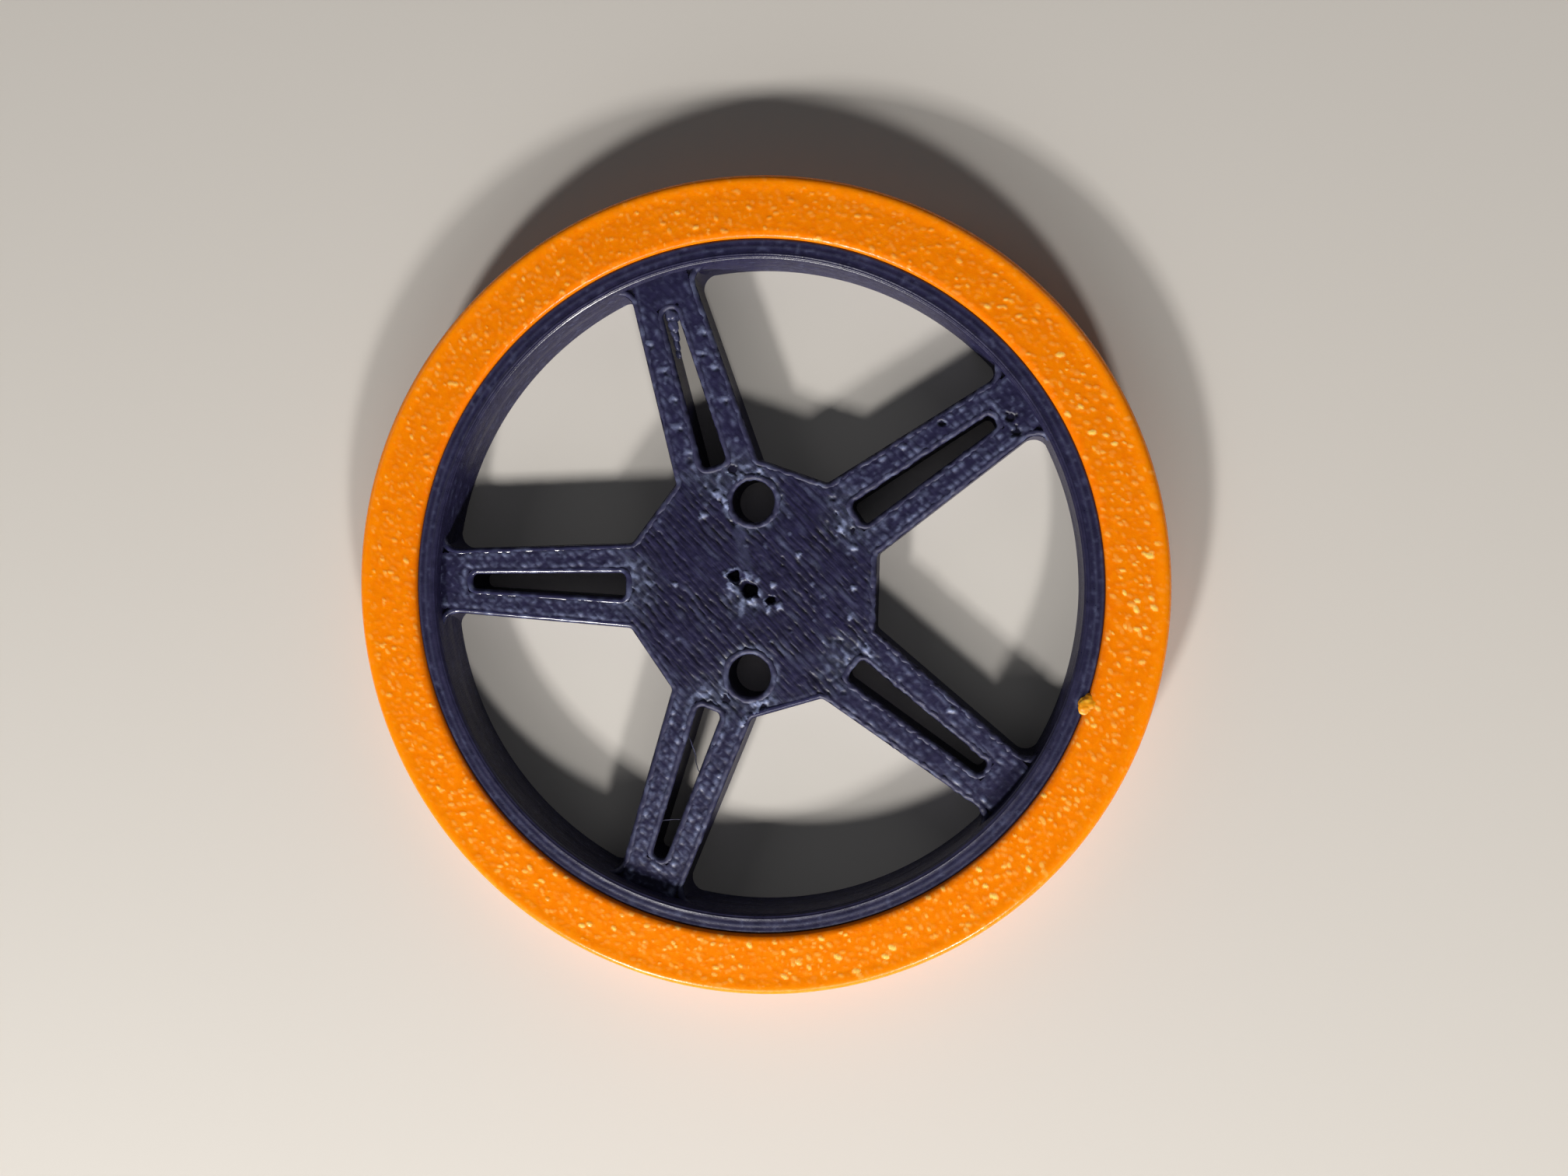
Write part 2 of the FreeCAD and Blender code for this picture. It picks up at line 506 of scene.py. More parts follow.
def make_tyre_blob():
    """Stray blob of the tyre's plastic at its inner edge, lying on the ring."""
    lumps = []
    for outwards, slide, size, seed in BLOB_LUMPS:
        lumps.append(lump(complex(BLOB_RADIUS + outwards, slide), BLOB_HEIGHT, size, BLOB_ANGLE, seed))
    piece = joined("tyre_blob", lumps)
    merge = piece.modifiers.new("merge", "REMESH")
    merge.mode = "VOXEL"
    merge.voxel_size = BLOB_VOXEL * MM
    soften = piece.modifiers.new("soften", "SMOOTH")
    soften.iterations = BLOB_SOFTENING
    for modifier in (merge, soften):
        bpy.ops.object.modifier_apply(modifier=modifier.name)
    keep_marks(piece, relief=1, scuff=ramp(ripple(corners(piece), size=0.5, seed=8), *BLOB_PALE_EDGE))
    smooth(piece, angle=80)
    return piece


# Rim: the ring, the web's body, the beads along its edges and the fill lines on its front

# Ring: the lines on its front, the small beads of its inner edge, how uneven and pale it is, and a painted
# sheen on its front's crests
RING_STEPS = 720
RING_BEADS = 2
RING_ROWS = 16
RING_VALLEY = 0.022
RING_GROOVE = 0.06
RING_EDGE = 0.4
EDGE_BEAD = 0.11
EDGE_BEAD_ANGLES = (158, 124, 90)
EDGE_BEAD_HALF = 55
EDGE_CALM = 0.9
SEAT_EDGE = 0.2
SWAY_STRETCH = (0.4, 0.4, 5)
SWAY_DEPTH = 0.02
ROUGH_DEPTH = 0.006
ROUGH_SCUFF = 0.1
ROUGH_SCUFF_EDGE = (0.2, 0.7)
CREST_POWER = 4
CREST_EDGE = (RING_WIDTH - 0.1, RING_WIDTH - 0.05)
# Painted sheen along the crests of the front's lines
CREST_SCUFF = 0.06
RING_RELIEF = 0.6
RING_UNEVEN = 0.15
RING_GLOSS = 0.5
GLOSS_ANGLE = math.radians(110)
GLOSS_REACH = (math.radians(16), math.radians(32))


def make_rim_ring():
    """Ring of the rim, with the print's lines on its wall and round its front."""
    low = RING_WIDTH - RING_EDGE
    inner = RING_INNER_RADIUS + RING_EDGE
    outer = SEAT_RADIUS - SEAT_EDGE
    profile = layered_wall(RING_INNER_RADIUS, 0, low, -RING_GROOVE)
    reach = RING_EDGE - EDGE_BEAD
    for angle in EDGE_BEAD_ANGLES:
        turn = math.radians(angle)
        place = (inner + reach * math.cos(turn), low + reach * math.sin(turn))
        profile += corner_points(*place, EDGE_BEAD, angle + EDGE_BEAD_HALF, angle - EDGE_BEAD_HALF, steps=4)
    for row in range(1, RING_ROWS):
        share = row / RING_ROWS
        drop = RING_VALLEY * (1 - math.cos(math.tau * RING_BEADS * share)) / 2
        profile.append((inner + (outer - inner) * share, RING_WIDTH - drop))
    profile += corner_points(outer, RING_WIDTH - SEAT_EDGE, SEAT_EDGE, start=90, end=0, steps=5)
    profile.append((SEAT_RADIUS, 0))
    piece = lathe("rim_ring", profile, RING_STEPS)
    points = corners(piece)
    spot = spots(points)
    radius = abs(spot)
    free = ramp(points[:, 2], 0, LAYER) * (1 - ramp(radius, outer, SEAT_RADIUS))
    sway = abs(ripple(points * SWAY_STRETCH, size=1, seed=6))
    rough = ripple(points, size=0.4, seed=5)
    edge = free * ramp(points[:, 2], low - LAYER, low) * (1 - ramp(radius, inner, inner + LAYER))
    free *= 1 - EDGE_CALM * edge
    points[:, 2] -= free * (SWAY_DEPTH * sway + ROUGH_DEPTH * (1 + rough))
    points[:, :2] *= (1 + free * SWAY_DEPTH * sway / RING_INNER_RADIUS)[:, None]
    place_corners(piece, points)
    share = (radius - inner) / (outer - inner)
    # Random pale patches, and a painted sheen along the crests of the front's lines
    crest = np.cos(math.pi * RING_BEADS * share) ** CREST_POWER * ramp(points[:, 2], *CREST_EDGE)
    scuff = free * (ROUGH_SCUFF * ramp(rough, *ROUGH_SCUFF_EDGE) + CREST_SCUFF * crest)
    from_gloss = abs(np.angle(spot * cmath.rect(1, -GLOSS_ANGLE)))
    gloss = RING_GLOSS * edge * (1 - ramp(from_gloss, *GLOSS_REACH))
    keep_marks(piece, relief=RING_RELIEF + RING_UNEVEN * rough, scuff=scuff, gloss=gloss)
    smooth(piece, angle=50)
    return piece


# Body of the web, and the pocket in it that leaves room for the pits
FRONT_LAYER = 0.25
BODY_TOP = WEB_THICKNESS - FRONT_LAYER
BODY_OVERLAP = 0.4
BODY_STEPS = 240
BODY_TOP_RELIEF = 0.1
BODY_WALL_RELIEF = 0.6
WEB_GROOVE = 0.05
POCKET_RADIUS = 3.2
POCKET_FLOOR = 2.6
CUT_PAST = 1.0


def make_web_body():
    """Hub and spokes under the front layer, with a groove round every wall between two layers."""
    edges = [turned(window_edge(0) + ring_arc(), angle) for angle in window_angles]
    edges += [turned(slot_edge(0), angle) for angle in spoke_angles]
    edges += [hole_edge(side, 0) for side in (-1, 1)]
    cutters = [prism("cutter", edge, -CUT_PAST, WEB_THICKNESS + CUT_PAST) for edge in edges]
    pocket = circle(0, POCKET_RADIUS, HOLE_STEPS)
    cutters.append(prism("cutter", pocket, POCKET_FLOOR, WEB_THICKNESS + CUT_PAST))
    piece = prism("rim_web", circle(0, RING_INNER_RADIUS + BODY_OVERLAP, BODY_STEPS), 0, BODY_TOP)
    cut(piece, joined("cutters", cutters))
    edit(piece)
    half_layers = 2 * round(BODY_TOP / LAYER)
    for half_layer in range(1, half_layers):
        height = BODY_TOP * half_layer / half_layers
        bpy.ops.mesh.select_all(action="SELECT")
        bpy.ops.mesh.bisect(plane_co=(0, 0, height * MM), plane_no=(0, 0, 1))
        if half_layer % 2 == 0:
            bpy.ops.transform.shrink_fatten(value=-WEB_GROOVE * MM)
    close_mesh()
    on_top = corners(piece)[:, 2] > BODY_TOP - SAME_PLACE
    keep_marks(piece, relief=np.where(on_top, BODY_TOP_RELIEF, BODY_WALL_RELIEF))
    smooth(piece, angle=50)
    return piece


# The left spoke and one hub flat have smooth, glossy edges: where each starts, and how wide it is
SMOOTH_SPOKE = math.pi
SMOOTH_SPOKE_START = (HUB_FLAT_RADIUS - 1, HUB_FLAT_RADIUS + 1)
SMOOTH_SPOKE_SIDE = (4, 5)
SMOOTH_FLAT = math.radians(-72)
SMOOTH_FLAT_START = (HUB_FLAT_RADIUS - 1, HUB_FLAT_RADIUS - 0.6)
SMOOTH_FLAT_SIDE = (2.4, 3.4)
SMOOTHED = 0.85

# Swells and sway of a bead
SWELL_SIZE = 0.55
FINE_SWELL_SIZE = 0.3
FINE_SWELL = 0.5
SWELL_HEIGHT = 0.02
SWELL_WIDTH = 0.1
BEAD_WIDTH = 0.95
BEAD_SWAY_SIZE = 0.9
BEAD_SWAY = 0.03
SWAY_PLACE = Vector((9, 9, 9))

# Beads, with a roughness for each spoke, from the left one round past the lower ones
BEAD_DROP = 0.04
BEAD_ROUND_STEPS = 5
BEAD_ROUGH = (0.06, 0.05, 0.11, 0.07, 0.06)
BEAD_ROUGH_SEED = 30
BEAD_RELIEF = 0.8
BEAD_PALENESS = (0.04, 0.24)
BEAD_PALE_EDGE = (0, 0.6)

# Strings of plastic across one slot, each through some points
STRING_RADIUS = 0.035
STRING_ORDER = 3
SLOT_STRINGS = (
    (
        (-5.15, -11.9, 3.1), (-4.9, -12.6, 3.0), (-4.41, -13.76, 2.9),
        (-4.45, -14.6, 2.9), (-4.0, -15.4, 2.8),
    ),
    ((-7.6, -19.36, 3.2), (-6.9, -19.2, 3.0), (-5.6, -19.05, 3.1)),
)


def stepped(points, step, closed):
    """Points along a line with no gap wider than a step."""
    ends = points[1:] + points[:1] if closed else points[1:]
    found = []
    for start, end in zip(points, ends):
        pieces = max(1, math.ceil(abs(end - start) / step))
        found += [start + (end - start) * count / pieces for count in range(pieces)]
    return found if closed else found + [points[-1]]


def beside(spot, angle, start, side):
    """1 past a start along an angle and near its line, falling to 0 past the side."""
    here = spot * cmath.rect(1, -angle)
    return ramp(here.real, *start) * (1 - ramp(abs(here.imag), *side))


def on_smooth_edge(spot):
    """1 on the left spoke and along one hub flat, whose edges are smooth and glossy, and 0 elsewhere."""
    spoke = beside(spot, SMOOTH_SPOKE, SMOOTH_SPOKE_START, SMOOTH_SPOKE_SIDE)
    flat = beside(spot, SMOOTH_FLAT, SMOOTH_FLAT_START, SMOOTH_FLAT_SIDE)
    return np.maximum(spoke, flat)


def lay_bead(curve, points, height, closed, seed):
    """One bead of plastic along a line, with the small swells of a printed one."""
    line = stepped(points, BEAD_STEP, closed)
    spline = curve.splines.new("POLY")
    spline.points.add(len(line) - 1)
    spline.use_cyclic_u = closed
    for spot, point in zip(spline.points, line):
        place = Vector((point.real, point.imag, seed))
        swell = noise.noise(place / SWELL_SIZE) + FINE_SWELL * noise.noise(place / FINE_SWELL_SIZE)
        swell *= 1 - SMOOTHED * on_smooth_edge(point)
        sway = BEAD_SWAY * noise.noise(place / BEAD_SWAY_SIZE + SWAY_PLACE)
        top = height + SWELL_HEIGHT * swell
        spot.co = ((point.real + sway) * MM, (point.imag - sway) * MM, top * MM, 1)
        spot.radius = BEAD_WIDTH + SWELL_WIDTH * swell


def lay_string(curve, string):
    """One thin string of plastic along a smooth line."""
    spline = curve.splines.new("NURBS")
    spline.points.add(len(string) - 1)
    for spot, (x, y, z) in zip(spline.points, string):
        spot.co = (x * MM, y * MM, z * MM, 1)
        spot.radius = STRING_RADIUS / BEAD_RADIUS
    spline.use_endpoint_u = True
    spline.order_u = STRING_ORDER


def make_edge_beads():
    """Outermost bead of the front layer along windows, slots and holes, and strings across a slot."""
    curve = bpy.data.curves.new("rim_edge_beads", "CURVE")
    curve.dimensions = "3D"
    curve.bevel_depth = BEAD_RADIUS * MM
    curve.bevel_resolution = BEAD_ROUND_STEPS
    curve.use_fill_caps = True
    height = WEB_THICKNESS - BEAD_RADIUS - BEAD_DROP
    for angle in window_angles:
        lay_bead(curve, turned(window_edge(BEAD_RADIUS), angle), height, closed=False, seed=angle)
    for angle in spoke_angles:
        lay_bead(curve, turned(slot_edge(BEAD_RADIUS), angle), height, closed=True, seed=angle)
    for side in (-1, 1):
        lay_bead(curve, hole_edge(side, BEAD_RADIUS), height, closed=True, seed=side)
    for string in SLOT_STRINGS:
        lay_string(curve, string)
    piece = bpy.data.objects.new("rim_edge_beads", curve)
    bpy.context.scene.collection.objects.link(piece)
    make_active(piece)
    bpy.ops.object.convert(target="MESH")
    edit(piece)
    close_mesh()
    points = corners(piece)
    spot = spots(points)
    gloss = on_smooth_edge(spot)
    rough = np.stack([ripple(points, size=0.4, seed=BEAD_ROUGH_SEED + axis) for axis in range(3)], 1)
    points += (np.array(BEAD_ROUGH)[nearest_spoke(spot)] * (1 - SMOOTHED * gloss))[:, None] * rough
    points[:, 2] = np.minimum(points[:, 2], WEB_THICKNESS)
    place_corners(piece, points)
    pale = between(BEAD_PALENESS, ramp(ripple(points, size=0.8, seed=11), *BEAD_PALE_EDGE))
    keep_marks(piece, relief=BEAD_RELIEF, scuff=pale, gloss=gloss)
    smooth(piece, angle=80)
    return piece


# Mesh of the fill
FILL_ALONG = 0.13
FILL_ACROSS = 0.1
FILL_MARGIN = 0.24
FILL_DEPTH = 0.32
FILL_SPARE = 0.4
FILL_RADIUS = RING_INNER_RADIUS + 0.2
LOOSE_ROUNDS = 3

# Lines of the fill, and where they turn round at the edges
LINE_BEND = 0.4
LINE_WAVE = 0.2
LINE_APART = 5.1
LINE_STRENGTH = 0.5
LINE_SWELL = 1.1
LINE_FADE = 0.9
LINE_STRONGEST = 1.8
LEVEL_STRETCH = (0.15, 1, 1)
FINE_SHIFT = (0, 0.4, 0)
FLAKE_STRETCH = (1, 0.2, 1)
FLAKE_SHIFT = (0, 1, 0)
LONG_FLAKES = 0.6
SMALL_FLAKES = 0.45
MOTTLE_FLAKES = 0.6
INSIDE_EDGE = (0.3, 0.6)
INSIDE_WAVE = 0.06
TURN_DEPTH = 0.7
TURN_DEPTH_WAVE = 0.15
TURN_SIZE = 0.24
TURN_STRENGTH = 0.25
TURN_CRUMBLE = 1.1
TURN_EVEN = 0.35
TURN_SWELL = 1.5
TURN_STRONGEST = 1.4
SEAM_DEPTH = 0.6
SEAM_SIZE = 0.09
SEAM_EDGE = (-0.1, 0.5)

# On the spokes, the fill crumbles and its lines fade: for each spoke as in BEAD_ROUGH, and by effect
BAR_START = (HUB_FLAT_RADIUS + 0.2, HUB_FLAT_RADIUS + 1.4)
SPOKE_CRUMBLE = (0.9, 1.0, 0.5, 0.8, 0.3)
SPOKE_SEAM = (1.0, 1.0, 0.3, 0.6, 0.6)
LINES_OFF_BARS = 0.8
LEVELS_OFF_BARS = 0.6
FINE_OFF_BARS = 0.5
DASHES_OFF_BARS = 0.7
STREAKS_OFF_BARS = 0.75

# How far each effect lies below or stands above the fill's top
FILL_LOW = 0.02
FILL_GROOVE = 0.12
EDGE_LOW = 0.045
EDGE_LOW_END = (0.35, 0.7)
LEVEL_LOW = 0.035
FINE_LOW = 0.03
CRUMBLE_LOW = 0.034
FLAKE_LOW = 0.06
ROUGH_HOLE_DEPTH = 0.8
ROUGH_HOLE_START = 0.35
END_GAP_DEPTH = 0.4
HOOK_HOLE_DEPTH = 0.14
TURN_HEIGHT = 0.08
FLECK_HEIGHT = 0.04
CRUMB_HEIGHT = 0.16
HOOK_HEIGHT = 0.05
FILL_SHADE_DEPTH = 0.2

# How pale each effect is; for the crumbs this is a painted highlight, for the dashes a painted sheen
ROUGH_PALENESS = (0.06, 0.56)
ROUGH_PALE_EDGE = (-0.05, 0.65)
TURN_PALENESS = 0.34
SMEAR_PALENESS = 0.06
SEAM_PALENESS = 0.16
FLECK_PALENESS = 0.24
CRUMB_PALENESS = 0.7
HOOK_PALENESS = 0.36
DASH_PALENESS = 0.3
DASH_START = 0.1
CRUMBLE_PALENESS = 0.2
CRUMBLE_PALE_EDGE = (0.15, 0.6)

# Small faults of the fill: place and radius of each
DOME_UNEVEN = 0.9
FLECKS = 190
FLECK_RADII = (0.12, 0.24)
# Raised crumbs of plastic, painted near-white as their highlight
HUB_CRUMBS = (
    (-1.0, 8.75, 0.45), (0.26, 8.9, 0.38), (0.5, 9.55, 0.3), (-2.85, 7.55, 0.42), (-2.35, 7.1, 0.3),
    (-2.1, 6.6, 0.3), (-4.05, 5.85, 0.32), (-6.2, 0.2, 0.24), (7.05, 4.9, 0.34), (8.2, 3.5, 0.28),
    (3.8, 2.9, 0.26), (2.3, -1.3, 0.36), (1.45, -1.55, 0.26), (-1.95, 1.15, 0.3), (-1.7, 0.1, 0.34),
    (-0.3, 1.0, 0.32), (-0.1, -0.95, 0.36), (1.8, 0.4, 0.28), (-0.35, -10.75, 0.4), (0.1, -10.35, 0.42),
    (0.65, -9.95, 0.35), (1.3, -9.75, 0.3), (8.2, 0.3, 0.26), (8.0, -2.0, 0.26), (16.1, -9.1, 0.32),
    (9.4, -4.55, 0.36), (0.8, -9.2, 0.36), (1.4, -9.0, 0.3),
)
BAR_PLACES = (
    (-7.59, 17.45, 0.26), (-3.47, 17.74, 0.28), (-2.59, 15.16, 0.3), (-6.3, 12.88, 0.3),
    (-6.71, 15.12, 0.26), (-4.58, 18.8, 0.24), (-5.4, 10.9, 0.3), (-8.82, 19.51, 0.28),
    (-4.43, 20.5, 0.3),
)
HOOK_STRETCH = 1.9
HOOK_HOLE = 0.24
BAR_HOOKS = [(x / HOOK_STRETCH, y, size) for x, y, size in BAR_PLACES]
BAR_HOLES = [(x + HOOK_HOLE, y - HOOK_HOLE, HOOK_HOLE) for x, y, _ in BAR_PLACES]
END_GAPS = (
    (14.75, 13.45, 0.3), (20.05, 13.9, 0.4), (20.6, 12.75, 0.35), (-1.75, 9.5, 0.4), (-1.85, -9.0, 0.35),
)
HUB_PITS = ((-1.5, 1.0, 0.46), (-0.2, -0.1, 0.64), (1.55, -0.85, 0.32))
PIT_DEPTH = 1.0
PIT_UNEVEN = 0.45
PIT_WALL = (0.75, 1.1)
PIT_RIM = 1.3
PIT_RIM_HALF = 0.45
PIT_RIM_EDGE = (-0.1, 0.4)
PIT_RIM_HEIGHT = 0.07
PIT_RIM_PALENESS = 0.5
PIT_SHADE = 2
SMEAR_START = complex(-1.2, 4.6)
SMEAR_END = complex(-0.3, 1.6)
SMEAR_HALF = 0.55

# Rough patches of the fill: place, and where each starts and stops fading
ROUGH_PATCHES = [
    (complex(-0.5, -1.0), 0.6, 1.9),
    (complex(-1.2, 9.0), 1.0, 2.4),
    (complex(0.8, -9.0), 0.8, 2.2),
]
ROUGH_PATCHES += [(cmath.rect(SLOT_START - 0.4, angle), 1.2, 2.9) for angle in spoke_angles]
ROUGH_PATCHES += [(complex(0, side * BOLT_OFFSET), 2.1, 2.7) for side in (-1, 1)]
ROUGH_AT_EDGE = 0.4


def patch(distance, inner, outer):
    """1 within the inner distance, falling to 0 at the outer one."""
    return np.clip((outer - distance) / (outer - inner), 0, 1)


def pit_shapes(points, spot):
    """Depth of the open pits at the hub's centre and paleness of their rims, at each point."""
    wobble = 1 + PIT_UNEVEN * ripple(points, size=0.6, seed=9)
    depth, rim = np.zeros((2, len(spot)))
    for x, y, size in HUB_PITS:
        away = abs(spot - complex(x, y)) / size * wobble
        depth = np.maximum(depth, PIT_DEPTH * patch(away, *PIT_WALL))
        rim = np.maximum(rim, patch(abs(away - PIT_RIM), 0, PIT_RIM_HALF))
    return depth, rim * ramp(ripple(points, size=0.45, seed=20), *PIT_RIM_EDGE)


def domes(spot, wobble, places):
    """Low uneven domes at some places, each with a radius: 1 at a dome's top and 0 outside all of them."""
    height = np.zeros(len(spot))
    for x, y, size in places:
        height = np.maximum(height, 1 - (abs(spot - complex(x, y)) / size * wobble) ** 2)
    return np.clip(height, 0, 1)


def fleck_places():
    """Small crumbs strewn over the hub and spokes."""
    places = []
    for _ in range(FLECKS):
        radius = math.sqrt(random.uniform(1, RING_INNER_RADIUS ** 2))
        place = cmath.rect(radius, random.uniform(0, math.tau))
        places.append((place.real, place.imag, random.uniform(*FLECK_RADII)))
    return places


def rough_places(spot):
    """1 where the print is rough: where spokes meet the hub, round the screw holes and below the pits."""
    rough = np.zeros(len(spot))
    for place, inner, outer in ROUGH_PATCHES:
        rough = np.maximum(rough, patch(abs(spot - place), inner, outer))
    return rough


def smear(spot):
    """1 along the smooth smear from the upper hole to the pits."""
    way = SMEAR_END - SMEAR_START
    share = np.clip(((spot - SMEAR_START) * way.conjugate()).real / abs(way) ** 2, 0, 1)
    return patch(abs(spot - SMEAR_START - share * way), SMEAR_HALF / 2, SMEAR_HALF)


def fill_marks(points, spot):
    """Depth of the fill below the front plane, its relief with painted shade where it lies low, paleness
    with painted highlights on crumbs and dashes, and streaks, at each point.
    """
    flat = points * (1, 1, 0)
    across = (flat[:, 0] + flat[:, 1]) / math.sqrt(2)
    along = (flat[:, 0] - flat[:, 1]) / math.sqrt(2)
    bend = LINE_BEND * ripple(flat, size=2.6, seed=1) + LINE_WAVE * ripple(flat, size=0.8, seed=5)
    track = across / FILL_PITCH + bend
    line = np.floor(track)
    valley = (2 * (track - line) - 1) ** 2
    strokes = np.stack([along, line * LINE_APART, 0 * along], 1)

    # Noise along the lines and over the face
    dashes = np.clip(ripple(strokes, size=1.6, seed=17) - DASH_START, 0, 1)
    level = ripple(strokes * LEVEL_STRETCH, size=1, seed=14)
    fine = ripple(strokes + flat * FINE_SHIFT, size=0.4, seed=4)
    flakes = LONG_FLAKES * ripple(strokes * FLAKE_STRETCH + flat * FLAKE_SHIFT, size=0.9, seed=6)
    flakes += SMALL_FLAKES * ripple(flat, size=0.45, seed=18)
    mottle = ripple(flat, size=0.5, seed=22) + MOTTLE_FLAKES * flakes
    crumbly = ripple(flat, size=0.34, seed=21)
    wobble = 1 + DOME_UNEVEN * ripple(flat, size=0.3, seed=19)

    # Where each effect shows
    depth = depth_in_web(spot)
    spoke = nearest_spoke(spot)
    inside = ramp(depth + INSIDE_WAVE * ripple(flat, size=0.6, seed=23), *INSIDE_EDGE)
    in_bars = ramp(abs(spot), *BAR_START)
    crumble = in_bars * inside * np.array(SPOKE_CRUMBLE)[spoke]
    rough = rough_places(spot) * between((ROUGH_AT_EDGE, 1), inside)
    smeared = smear(spot)
    swell = LINE_SWELL * ripple(strokes, size=1.3, seed=2) + LINE_FADE * ripple(flat, size=3.2, seed=15)
    drawn = np.clip(LINE_STRENGTH + swell, 0, LINE_STRONGEST)
    drawn *= (1 - smeared) * (1 - LINES_OFF_BARS * in_bars) * inside
    turn_place = TURN_DEPTH + TURN_DEPTH_WAVE * ripple(strokes, size=0.9, seed=16)
    turns = (1 - valley) * np.exp(-((depth - turn_place) / TURN_SIZE) ** 2)
    turns *= TURN_STRENGTH + TURN_CRUMBLE * crumble
    turns *= np.clip(TURN_EVEN + TURN_SWELL * ripple(strokes, size=0.5, seed=12), 0, TURN_STRONGEST)
    seam = np.exp(-((depth - SEAM_DEPTH) / SEAM_SIZE) ** 2) * np.array(SPOKE_SEAM)[spoke]
    seam *= ramp(ripple(flat, size=1.5, seed=24), *SEAM_EDGE)
    rough_holes = rough * np.clip(ripple(flat, size=0.7, seed=7) - ROUGH_HOLE_START, 0, 1)
    hooks = domes(spot.real / HOOK_STRETCH + 1j * spot.imag, wobble, BAR_HOOKS)
    hook_holes = domes(spot, wobble, BAR_HOLES)
    end_gaps = domes(spot, wobble, END_GAPS)
    flecks = domes(spot, wobble, fleck_places())
    crumbs = domes(spot, wobble, HUB_CRUMBS)

    lows = FILL_LOW + EDGE_LOW * (1 - ramp(depth, *EDGE_LOW_END)) + FILL_GROOVE * valley ** 2 * drawn
    lows += LEVEL_LOW * (1 - level) * (1 - LEVELS_OFF_BARS * in_bars)
    lows += FINE_LOW * (1 - fine) * inside * (1 - FINE_OFF_BARS * in_bars)
    lows += CRUMBLE_LOW * crumble * (1 - crumbly) + FLAKE_LOW * rough * (1 - flakes)
    lows += ROUGH_HOLE_DEPTH * rough_holes + END_GAP_DEPTH * end_gaps + HOOK_HOLE_DEPTH * hook_holes
    lows -= TURN_HEIGHT * turns + FLECK_HEIGHT * flecks + CRUMB_HEIGHT * crumbs + HOOK_HEIGHT * hooks
    pale = rough * between(ROUGH_PALENESS, ramp(mottle, *ROUGH_PALE_EDGE))
    pale += TURN_PALENESS * turns + SMEAR_PALENESS * smeared + SEAM_PALENESS * seam
    # Crumbs painted near-white as their highlight
    pale += FLECK_PALENESS * flecks + CRUMB_PALENESS * crumbs + HOOK_PALENESS * hooks
    # Painted sheen: pale dashes along the lines' crests
    pale += DASH_PALENESS * dashes * (1 - valley) ** 2 * inside * (1 - DASHES_OFF_BARS * in_bars)
    pale += CRUMBLE_PALENESS * crumble * ramp(crumbly, *CRUMBLE_PALE_EDGE)
    # Painted shade: the fill's colour darkens with its depth below the front, in grooves, gaps, holes and
    # along the edges
    relief = 1 - lows / FILL_SHADE_DEPTH
    return lows, relief, pale, inside * (1 - STREAKS_OFF_BARS * in_bars)


def make_fill():
    """Front layer between the edge beads: diagonal lines of plastic, with the pits at the hub's centre."""
    reach = 2 * RING_INNER_RADIUS + FILL_SPARE
    clear_selection()
    bpy.ops.mesh.primitive_grid_add(
        x_subdivisions=round(reach / FILL_ALONG), y_subdivisions=round(reach / FILL_ACROSS),
        size=reach * MM, location=(0, 0, WEB_THICKNESS * MM), rotation=(0, 0, FILL_TURN))
    piece = added("rim_fill")
    bpy.ops.object.transform_apply(location=True, rotation=True, scale=True)
    spot = spots(corners(piece))
    select_corners(piece, (depth_in_web(spot) < FILL_MARGIN) | (abs(spot) > FILL_RADIUS))
    bpy.ops.object.mode_set(mode="EDIT")
    bpy.ops.mesh.select_mode(type="VERT")
    bpy.ops.mesh.delete(type="VERT")
    for _ in range(LOOSE_ROUNDS):
        bpy.ops.mesh.select_all(action="SELECT")
        bpy.ops.mesh.delete_loose()
        bpy.ops.mesh.select_all(action="DESELECT")
        bpy.ops.mesh.select_non_manifold(
            use_wire=False, use_boundary=False, use_multi_face=False,
            use_non_contiguous=False, use_verts=True)
        bpy.ops.mesh.delete(type="VERT")
    bpy.ops.mesh.select_all(action="SELECT")
    bpy.ops.mesh.extrude_region_move(TRANSFORM_OT_translate={"value": (0, 0, -FILL_DEPTH * MM)})
    close_mesh()
    points = corners(piece)
    spot = spots(points)
    front = points[:, 2] > WEB_THICKNESS - FILL_DEPTH / 2
    lows, relief, pale, streak = fill_marks(points, spot)
    pits, pit_rims = pit_shapes(points, spot)
    points[:, 2] -= np.where(front, lows - PIT_RIM_HEIGHT * pit_rims, 0) + pits
    place_corners(piece, points)
    # Painted shade: the pits' colour darkens with their depth, and their rims are paler
    pale += PIT_RIM_PALENESS * pit_rims - PIT_SHADE * pits
    keep_marks(piece, relief=relief - pits, scuff=pale, streak=streak)
    smooth(piece, angle=60)
    return piece


DEBRIS_SPOKE = 4
DEBRIS_ANGLE = spoke_angles[DEBRIS_SPOKE]
DEBRIS_RELIEF = 0.8
DEBRIS_SCUFF = 0.1

# Lumps of the debris: place along the spoke, place across it, height, half sizes and seed
DEBRIS_LUMPS = (
    (23.0, -0.1, 3.5, (0.7, 0.55, 0.4), 1),
    (22.2, 0.05, 3.4, (0.7, 0.4, 0.36), 2),
    (21.4, 0.15, 3.3, (0.65, 0.3, 0.32), 3),
    (20.6, 0.25, 3.2, (0.6, 0.24, 0.28), 4),
    (19.9, 0.35, 3.1, (0.45, 0.22, 0.24), 5),
)


